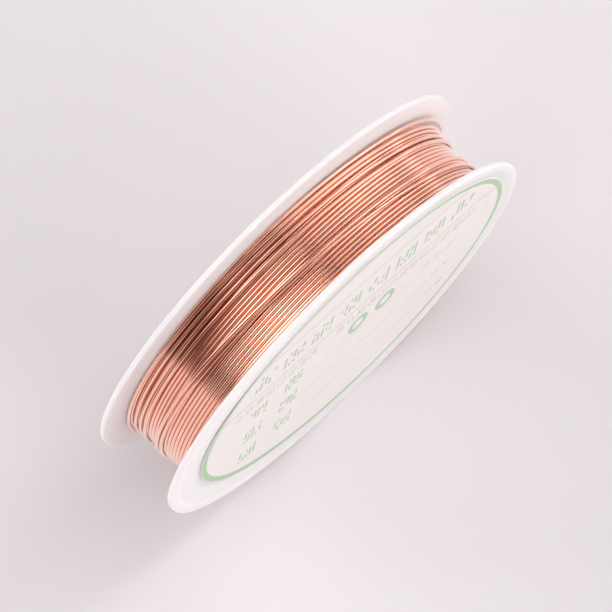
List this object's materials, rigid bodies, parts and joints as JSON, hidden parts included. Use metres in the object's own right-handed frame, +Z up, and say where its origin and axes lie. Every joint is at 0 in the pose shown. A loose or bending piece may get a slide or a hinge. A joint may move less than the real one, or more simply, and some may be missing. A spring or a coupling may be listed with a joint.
{
  "type": "spool of beading wire",
  "caption": "Close-wound copper craft wire on a flanged white plastic spool with a hub bore, ribs in its open back and a round paper label on its front",
  "frame": {"origin": "on the floor, under the middle of the spool, which stands on the rims of its two flanges", "axes": "+Z up, +Y along the spool's axis towards its open back, the label faces -Y, +X to the right of the label"},
  "size_m": [0.068, 0.0144, 0.068],
  "materials": {
    "spool_plastic": "moulded white plastic, satin",
    "copper_wire": "bright lacquered copper",
    "label_paper": "coated paper, printed in pale green"
  },
  "bodies": {
    "root": {"spool": "spool_plastic", "wire_coil": "copper_wire", "label": "label_paper"}
  },
  "joints": []
}
